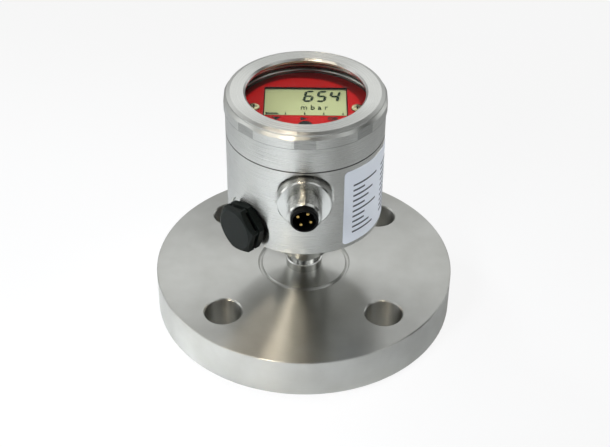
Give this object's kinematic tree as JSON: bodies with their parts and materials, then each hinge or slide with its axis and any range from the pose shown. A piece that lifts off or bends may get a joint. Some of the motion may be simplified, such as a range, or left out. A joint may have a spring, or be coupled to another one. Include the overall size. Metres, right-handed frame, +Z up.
{
  "type": "pressure transmitter",
  "caption": "Flange mounted pressure transmitter: round steel housing on a short neck, screwed window ring over a display with keys, round plug connector and black vent plug.",
  "frame": {"origin": "centre of the flange's sealing face, where it rests", "axes": "+Z up along the flange and housing axis, -Y forward along the plug connector"},
  "size_m": [0.115, 0.115, 0.0966],
  "materials": {
    "turned_steel": "fine turned stainless steel",
    "housing_steel": "turned stainless steel",
    "bright_steel": "polished stainless steel",
    "foil_steel": "pressed stainless foil",
    "clear_glass": "clear flat glass",
    "red_plastic": "red moulded plastic",
    "screen_glass": "pale green liquid crystal screen",
    "black_plastic": "black moulded plastic",
    "key_plastic": "black key plastic",
    "seal_rubber": "black rubber",
    "gold_contact": "gold plated contacts",
    "screw_metal": "nickel plated brass",
    "board_laminate": "green circuit board laminate",
    "part_plastic": "moulded electronic parts",
    "copper_lead": "tinned copper leads",
    "membrane_sheet": "white vent membrane",
    "label_foil": "pale blue grey printed foil"
  },
  "bodies": {
    "base": {"process_flange": "turned_steel", "process_diaphragm": "foil_steel", "sensor_stem": "bright_steel", "stem_seal": "seal_rubber", "stem_nut": "bright_steel", "sensor_cell": "bright_steel", "sensor_pins": "gold_contact", "housing": "housing_steel", "cover_seal": "seal_rubber", "display_plate": "red_plastic", "screen_frame": "black_plastic", "screen_panel": "screen_glass", "display_board": "board_laminate", "display_carrier": "part_plastic", "plate_spacers": "screw_metal", "plate_screws": "screw_metal", "key_switches": "part_plastic", "board_standoffs": "screw_metal", "main_board": "board_laminate", "board_screws": "screw_metal", "board_header": "part_plastic", "board_chips": "part_plastic", "connector_seal": "seal_rubber", "connector_shell": "bright_steel", "connector_insert": "black_plastic", "connector_pins": "gold_contact", "connector_leads": "copper_lead", "vent_seal": "seal_rubber", "vent_body": "black_plastic", "vent_membrane": "membrane_sheet", "vent_cap": "black_plastic", "rating_label": "label_foil"},
    "window_lift": {"window_gasket": "seal_rubber"},
    "cover": {"cover_ring": "turned_steel", "window_pane": "clear_glass", "window_snap_ring": "bright_steel"},
    "down_key": {"key_down": "key_plastic"},
    "right_key": {"key_right": "key_plastic"},
    "ok_key": {"key_ok": "key_plastic"}
  },
  "joints": [
    {"name": "cover_lift", "type": "slide", "parent": "base", "child": "window_lift", "axis": [0, 0, 1], "range_m": [0, 0.0075]},
    {"name": "cover_turn", "type": "hinge", "parent": "window_lift", "child": "cover", "pos_m": [0, 0, 0.0895], "axis": [0, 0, 1], "range_deg": [0, 1800]},
    {"name": "down_press", "type": "slide", "parent": "base", "child": "down_key", "axis": [0, 0, -1], "range_m": [0, 0.0004], "stiffness_N_per_m": 1500},
    {"name": "right_press", "type": "slide", "parent": "base", "child": "right_key", "axis": [0, 0, -1], "range_m": [0, 0.0004], "stiffness_N_per_m": 1500},
    {"name": "ok_press", "type": "slide", "parent": "base", "child": "ok_key", "axis": [0, 0, -1], "range_m": [0, 0.0004], "stiffness_N_per_m": 1500}
  ],
  "couplings": [
    {"joint": "cover_lift", "follows": "cover_turn", "m_per_rad": 0.0002387}
  ]
}
